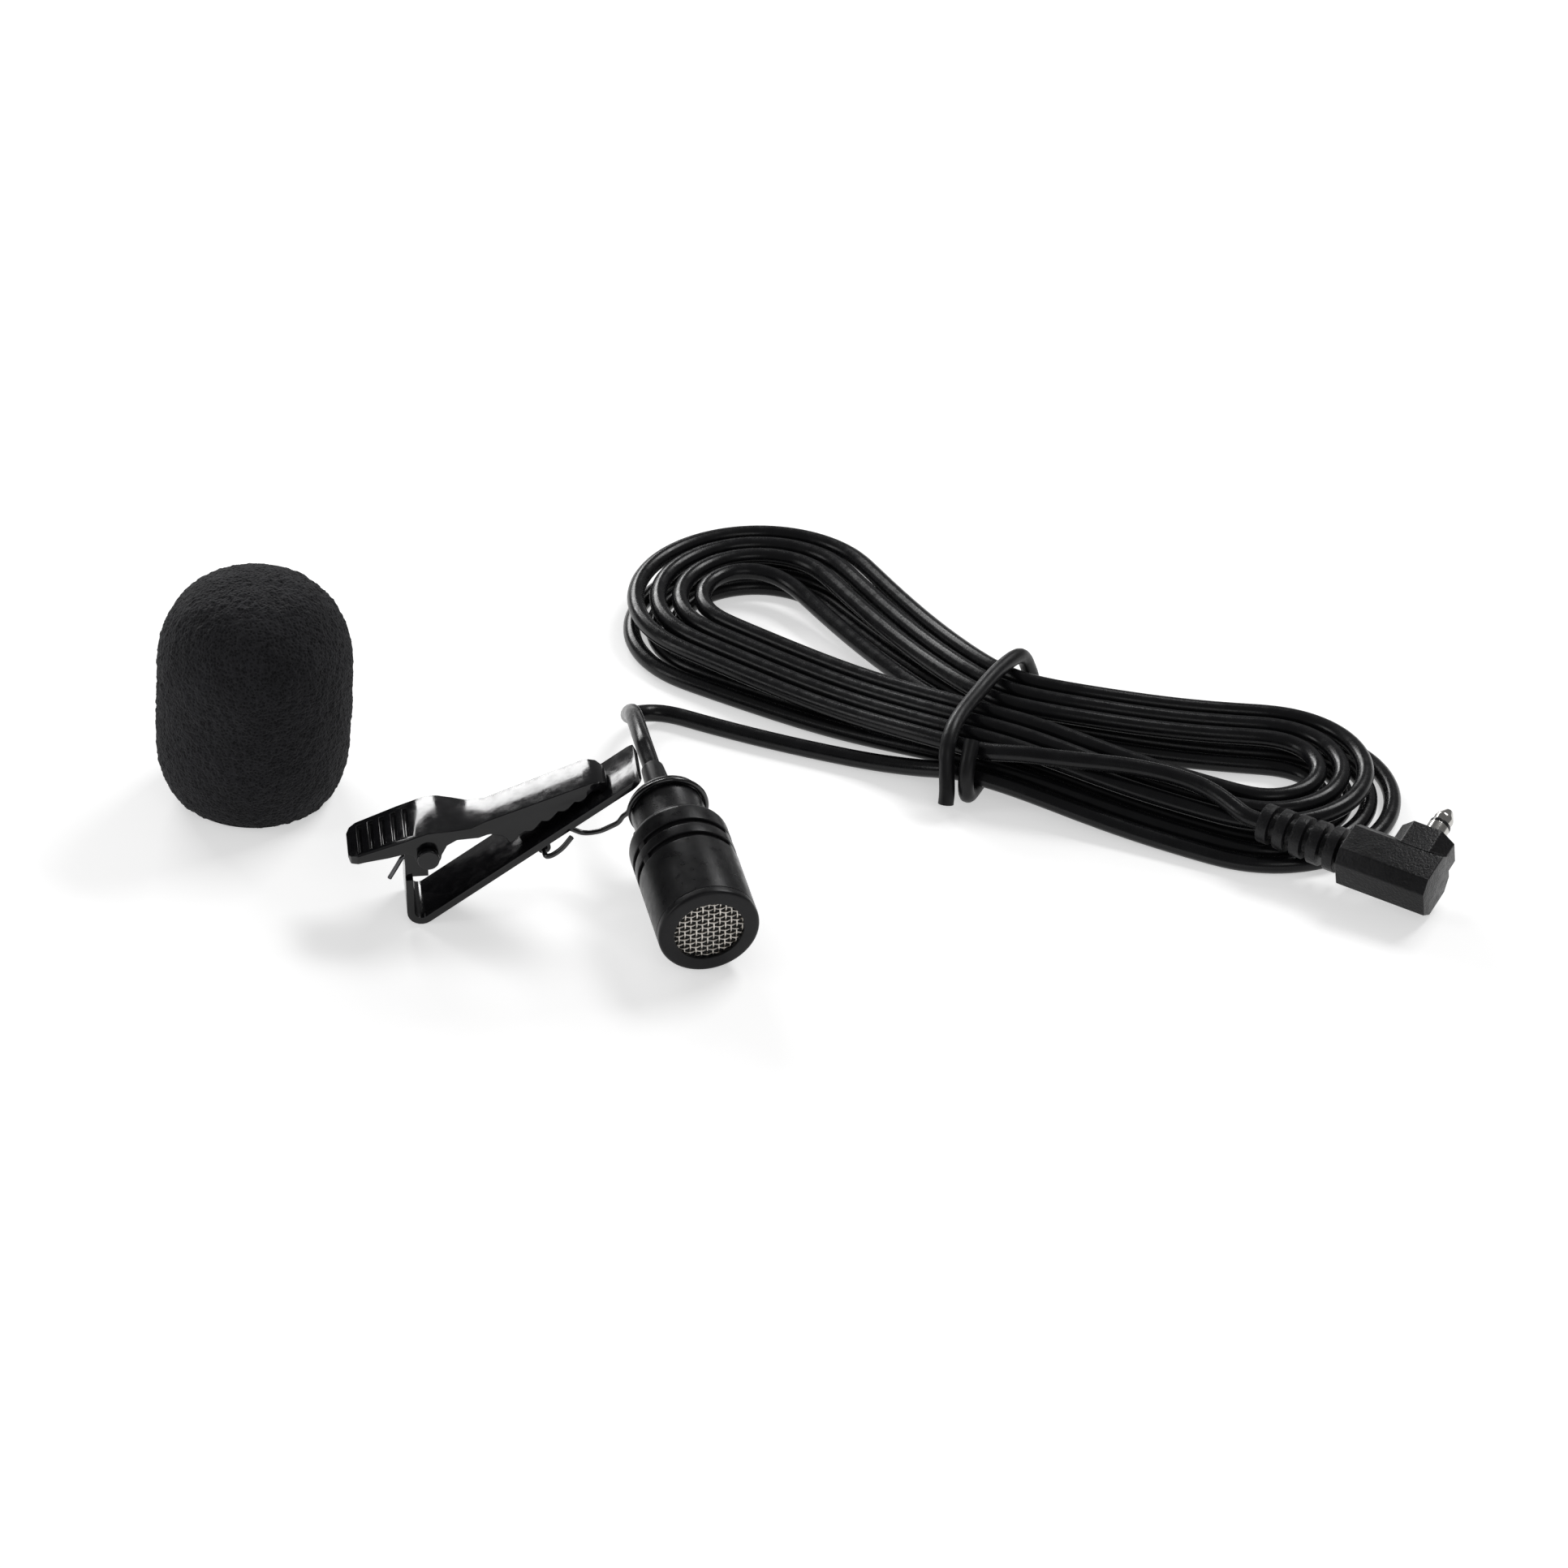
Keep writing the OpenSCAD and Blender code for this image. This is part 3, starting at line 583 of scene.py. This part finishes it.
def foam_outline():
    """(radius, height) from the hole's rim, round the foot and up to the crown."""
    outer = [(BORE_R + (7.6 - BORE_R) * t, 0.05) for t in np.linspace(0, 1, 12)]
    for t in np.linspace(6, 90, 30):
        a = math.radians(t)
        outer.append((FOOT_R + (FOAM_R - FOOT_R) * math.sin(a), FOOT_H * (1 - math.cos(a)) + 0.1))
    outer += [(FOAM_R, z) for z in np.linspace(8.4, 16.4, 36)]
    for t in np.linspace(1.5, 89.5, 64):
        a = math.radians(t)
        outer.append((FOAM_R * math.cos(a) ** DOME_POWER, DOME_AT + DOME_H * math.sin(a)))
    return outer


def foam_point(q, z, a):
    """A point of the foam's skin, leaned and made slightly uneven, from its radius, height and angle."""
    lean = math.radians(FOAM_LEAN)
    x, y = q * math.cos(a), q * math.sin(a)
    p = np.array([x * math.cos(lean) + z * math.sin(lean), y, z * math.cos(lean) - x * math.sin(lean)])
    s = Vector((p[0] * 1.6, p[1] * 1.6, p[2] * 1.6))
    push = 0.16 * noise.noise(s) + 0.1 * noise.noise(s * 2.3) + 0.12 * noise.noise(s * 0.25)
    out = unit(np.array([x, y, 0.35 * (z - 12.0)]) + 1e-6)
    if z > 0.2:
        p = p + out * (push - 0.12)
    p[2] = max(p[2], 0.0)
    return (FOAM_AT + p) * MM


def make_windscreen():
    lean = math.radians(FOAM_LEAN)
    outer = foam_outline()
    angles = [2 * math.pi * k / FOAM_SEGMENTS for k in range(FOAM_SEGMENTS)]
    following = [(k, (k + 1) % FOAM_SEGMENTS) for k in range(FOAM_SEGMENTS)]
    verts = [foam_point(q, z, a) for a in angles for q, z in outer]
    faces = []
    n = len(outer)
    for k, j in following:
        for i in range(n - 1):
            faces.append((k * n + i, j * n + i, j * n + i + 1, k * n + i + 1))
    top = len(verts)
    crown = np.array([FOAM_TOP * math.sin(lean), 0.0, FOAM_TOP * math.cos(lean) - 0.1])
    verts.append((FOAM_AT + crown) * MM)
    for k, j in following:
        faces.append((k * n + n - 1, j * n + n - 1, top))
    # The blind hole
    base = len(verts)
    for a in angles:
        verts.append((FOAM_AT + np.array([BORE_R * math.cos(a), BORE_R * math.sin(a), BORE_DEPTH])) * MM)
    end = len(verts)
    verts.append((FOAM_AT + np.array([0.0, 0.0, BORE_DEPTH])) * MM)
    for k, j in following:
        faces.append((j * n, k * n, base + k, base + j))
        faces.append((base + j, base + k, end))
    foam = mesh_object("foam_windscreen", verts, faces, 60.0)
    foam.data.materials.append(foam_material())
    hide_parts("windscreen")
    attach(foam, "windscreen")


make_windscreen()


# ------------------------------------------------------------------ microphone
GROOVE_R, LAND_R = 5.2, 5.55
LAND_ANGLES, LAND_HALF = (-30, -150, 90), 5.9
GRILLE_PITCH, GRILLE_WIRE, GRILLE_R, GRILLE_AT, GRILLE_WAVE = 0.64, 0.105, 4.15, 0.7, 0.09


def rounded(points, radius, steps=5):
    """A closed outline with its corners rounded, each by its own radius."""
    out = []
    n = len(points)
    for i in range(n):
        p, a, b = (np.array(points[j % n], float) for j in (i, i - 1, i + 1))
        la, lb = np.linalg.norm(a - p), np.linalg.norm(b - p)
        cut = min(radius[i], la * 0.45, lb * 0.45)
        if cut <= 0:
            out.append(tuple(p))
            continue
        s, e = p + (a - p) / la * cut, p + (b - p) / lb * cut
        for k in range(steps + 1):
            t = k / steps
            out.append(tuple((1 - t) ** 2 * s + 2 * t * (1 - t) * p + t * t * e))
    return out


def barrel_lands(r, z, degrees):
    """Three lands bridge the grooves, a little below the barrel's surface."""
    off = min(abs((degrees - a + 180) % 360 - 180) for a in LAND_ANGLES)
    return LAND_R if 4.9 < r < LAND_R and 9.0 < z < 12.8 and off < LAND_HALF else r


def make_grille():
    """Wires woven over and under each other, cut to a disc."""
    lines = []
    for i in range(-6, 7):
        across = i * GRILLE_PITCH
        half = math.sqrt(max(0.0, GRILLE_R**2 - across**2))
        for flip in (0, 1):
            line = []
            for t in np.linspace(-half, half, max(8, int(2 * half / 0.085))):
                z = GRILLE_AT + GRILLE_WAVE * math.cos(math.pi * (t / GRILLE_PITCH + i + flip))
                line.append([t, across, z] if flip else [across, t, z])
            lines.append(np.array(line))
    grille = many_tubes("grille", lines, GRILLE_WIRE, 8, in_mic)
    grille.data.materials.append(MESH)
    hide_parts("grille_mesh")
    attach(grille, "microphone")


def make_microphone():
    bezel = lathe(
        "bezel",
        rounded(
            [(3.85, 0.0), (HEAD_R, 0.0), (HEAD_R, 1.0), (4.75, 1.0)]
            + [(4.75, 2.6), (4.25, 2.6), (4.25, 0.5), (3.85, 0.5)],
            [0.15, 0.8, 0.06, 0, 0, 0, 0, 0.05],
            8,
        ),
        in_mic,
    )
    barrel = lathe(
        "barrel",
        rounded(
            [(HEAD_R, 1.05), (HEAD_R, 9.4), (GROOVE_R, 9.4), (GROOVE_R, 10.2)]
            + [(HEAD_R, 10.2), (HEAD_R, 11.6), (GROOVE_R, 11.6), (GROOVE_R, 12.4)]
            + [(HEAD_R, 12.4), (HEAD_R, 14.6), (4.9, 15.6), (4.1, 15.6)]
            + [(4.1, 14.6), (4.8, 14.6), (4.8, 1.05)],
            [0.08, 0.12, 0.03, 0.03, 0.12, 0.12, 0.03, 0.03, 0.12, 0.35, 0.2, 0, 0, 0, 0.05],
            5,
        ),
        in_mic,
        segments=360,
        shape=barrel_lands,
    )
    tail = lathe(
        "tail",
        rounded(
            [(4.05, 14.55), (4.05, 20.6), (4.25, 20.6), (4.25, 21.35), (1.15, 21.35)]
            + [(1.15, 15.4), (2.4, 15.4), (2.4, 11.5), (4.75, 11.5), (4.75, 14.55)],
            [0.02, 0.05, 0.08, 0.25, 0, 0, 0, 0, 0, 0],
            5,
        ),
        in_mic,
    )
    boot = lathe(
        "boot",
        rounded(
            [(0.001, 15.45), (1.1, 15.45), (1.1, 21.36), (1.6, 21.36), (1.25, BOOT_END), (0.001, BOOT_END)],
            [0, 0.05, 0, 0.15, 0.2, 0],
            6,
        ),
        in_mic,
    )
    for obj, node, material, slot in (
        (bezel, "front_bezel", BARREL, "barrel"),
        (barrel, "mic_barrel", BARREL, "barrel"),
        (tail, "mic_tail", TAIL, "tail"),
        (boot, "cord_boot", BOOT, "boot"),
    ):
        obj.data.materials.append(material)
        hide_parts(node)
        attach(obj, "microphone")
    for node, material in (
        ("dust_felt", FELT),
        ("capsule_holder", RUBBER),
        ("capsule", CAPSULE),
        ("capsule_board", BOARD),
        ("lead_red", RED),
        ("lead_black", INSULATOR),
        ("cord_crimp", BRASS),
    ):
        dress(node, material)


make_microphone()
make_grille()


# ------------------------------------------------------------------ clip
RING_R, RING_AT = 4.42, 20.2
HOLDER_WIRE_R = 0.3
COIL_X, COIL_Z, COIL_R, COIL_WIDTH = 1.8, 8.95, 1.15, 3.0
COIL_TURNS, COIL_STEPS, COIL_START = 4, 32, 150
SPRING_WIRE_R = 0.25


def make_holder():
    hook = [[17.4, -4.15, 10.5], [16.4, -4.15, 9.2], [15.4, -4.15, 8.4]]
    hook += [[14.7, -4.0, 8.1], [14.5, -3.5, 8.1]]
    bar = [[14.5, y, 8.1] for y in (-2.6, -1.0, 1.0, 2.6)]
    leg = [
        [14.5, 3.5, 8.1], [14.9, 4.1, 7.9], [16.2, 4.2, 7.1], [18.2, 4.15, 6.0], [19.4, 4.1, 5.5],
        [21.0, 3.8, 5.8], [22.3, 3.4, 6.6], [23.1, 3.05, 7.3], [23.6, 2.8, 8.2],
    ]
    centre = in_mic((0, 0, RING_AT))
    side = np.array([math.cos(math.radians(TURN)), math.sin(math.radians(TURN)), 0.0])
    up = np.cross(side, MIC_TURN @ np.array([0.0, 0.0, 1.0]))
    ring = [
        centre + RING_R * (math.cos(math.radians(a)) * side + math.sin(math.radians(a)) * up)
        for a in range(172, -144, -15)
    ]
    points = [in_clip(p) for p in hook + bar + leg] + ring
    line = even(catmull(points, 16), 0.22)
    wire = curve_tube("holder", line, HOLDER_WIRE_R, 6)
    wire.data.materials.append(WIRE)
    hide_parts("holder_wire")
    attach(wire, "holder")


def make_spring():
    coil = []
    last = COIL_TURNS * COIL_STEPS
    for i in range(last + 1):
        a = math.radians(COIL_START + 360 * i / COIL_STEPS)
        y = COIL_WIDTH / 2 - COIL_WIDTH * i / last
        coil.append([COIL_X + COIL_R * math.cos(a), y, COIL_Z + COIL_R * math.sin(a)])
    pad_leg = [[-4.6, 1.5, 8.4], [-1.6, 1.5, 9.45], [0.2, 1.5, 9.95]]
    back_leg = [[0.4, -1.5, 8.5], [-0.3, -1.5, 7.95], [-1.0, -1.5, 7.4]]
    back_leg += [[-1.6, -1.5, 6.3], [-2.4, -1.5, 4.9]]
    line = [in_clip(p) for p in pad_leg + coil + back_leg]
    spring = curve_tube("spring", even(np.array(line), 0.15), SPRING_WIRE_R, 5)
    spring.data.materials.append(SPRING)
    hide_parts("clip_spring")
    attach(spring, "jaw")


make_holder()
make_spring()
dress("lower_jaw", GLOSS, 0.16)
dress("upper_lever", GLOSS, 0.3, 4)
dress("jaw_hinge_tube", GLOSS, 0.05)
dress("pivot_pin", GLOSS, 0.15)


# ------------------------------------------------------------------ plug
PIN_X, PIN_R, STEM_R = 7.3, 1.25, 1.1
BOSS_END, SLEEVE_END, RING_END, TIP_END = 5.21, 7.6, 8.0, 10.2


def on_pin(p):
    """From a lathe's frame, with its axis along the jack pin."""
    return in_plug((PIN_X + p[0], p[2], p[1]))


def make_pin():
    """The jack's three lathed pieces, each closed round its own hole or core."""
    sleeve = [(0.85, 0.6), (STEM_R, 0.6), (STEM_R, BOSS_END)]
    sleeve += [(PIN_R, BOSS_END), (PIN_R, SLEEVE_END), (0.85, SLEEVE_END)]
    ring = [(0.5, 0.2), (0.83, 0.2), (0.83, SLEEVE_END + 0.01)]
    ring += [(PIN_R, SLEEVE_END + 0.01), (PIN_R, RING_END), (0.5, RING_END)]
    tip = [(0.001, -0.4), (0.48, -0.4), (0.48, 8.01), (1.0, 8.01), (1.15, 8.91)]
    tip += [(0.45, TIP_END), (0.001, TIP_END)]
    pieces = []
    for name, outline, radii, node, material, slot in (
        ("pin_sleeve", sleeve, [0, 0, 0, 0, 0.06, 0], "plug_sleeve", PLATING, "plating"),
        ("pin_ring", ring, [0, 0, 0, 0.04, 0.04, 0], "plug_insulator", INSULATOR, "ring"),
        ("pin_tip", tip, [0, 0, 0, 0.05, 0.3, 0.2, 0], "plug_tip", PLATING, "plating"),
    ):
        piece = lathe(name, rounded(outline, radii, 5), on_pin, segments=96)
        piece.data.materials.append(material)
        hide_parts(node)
        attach(piece, "microphone")
        pieces.append(piece)
    return pieces


dress("plug_body", PLUG, 0.5, 5)
dress("plug_relief", PLUG, 0.2, 4)
PIN = make_pin()


# ------------------------------------------------------------------ floor and light
FLOOR_HALF_M = 4.0
FLOOR_GLOW, SKY_STRENGTH = 0.5, 0.2
LIGHTS_ROUND = Vector((0.03, 0.01, 0.0))
# name, place from LIGHTS_ROUND in metres, watts, width and height in metres
LIGHTS = (
    ("back", (-0.29, 0.62, 0.32), 2.6, 0.42, 0.17),
    ("top", (0.38, 0.4, 0.62), 2.6, 0.4, 0.2),
    ("left", (-0.75, -0.1, 0.3), 0.9, 0.25, 0.4),
    ("front", (0.25, -0.75, 0.6), 0.8, 0.5, 0.3),
)


def floor_material():
    """A pale matt floor that the camera and glossy surfaces see as white, with the object's shadow."""
    m = surface("floor_white", (0.86, 0.86, 0.86), 0.9, var=0.005, grain=0.0, specular=0.1)
    nodes, links = m.node_tree.nodes, m.node_tree.links
    rays = nodes.new("ShaderNodeLightPath")
    seen = nodes.new("ShaderNodeMath")
    seen.operation = "MAXIMUM"
    links.new(rays.outputs["Is Camera Ray"], seen.inputs[0])
    links.new(rays.outputs["Is Glossy Ray"], seen.inputs[1])
    glow = nodes.new("ShaderNodeMath")
    glow.operation = "MULTIPLY"
    glow.inputs[1].default_value = FLOOR_GLOW
    links.new(seen.outputs["Value"], glow.inputs[0])
    shader = nodes["Principled BSDF"]
    shader.inputs["Emission Color"].default_value = (1, 1, 1, 1)
    links.new(glow.outputs["Value"], shader.inputs["Emission Strength"])
    return m


def make_stage():
    d = FLOOR_HALF_M
    floor = mesh_object("floor", [(-d, -d, 0), (d, -d, 0), (d, d, 0), (-d, d, 0)], [(0, 1, 2, 3)])
    floor.data.materials.append(floor_material())
    world = bpy.data.worlds.new("world")
    bpy.context.scene.world = world
    world.use_nodes = True
    background = world.node_tree.nodes["Background"]
    background.inputs["Color"].default_value = (1, 1, 1, 1)
    background.inputs["Strength"].default_value = SKY_STRENGTH
    for name, place, power, width, height in LIGHTS:
        data = bpy.data.lights.new(name, "AREA")
        data.shape = "RECTANGLE"
        data.size = width
        data.size_y = height
        data.energy = power
        light = bpy.data.objects.new(name, data)
        bpy.context.collection.objects.link(light)
        light.location = LIGHTS_ROUND + Vector(place)
        light.rotation_euler = Vector(place).to_track_quat("Z", "Y").to_euler()
    bpy.context.scene.view_settings.view_transform = "Standard"
    bpy.context.scene.view_settings.look = "None"


make_stage()
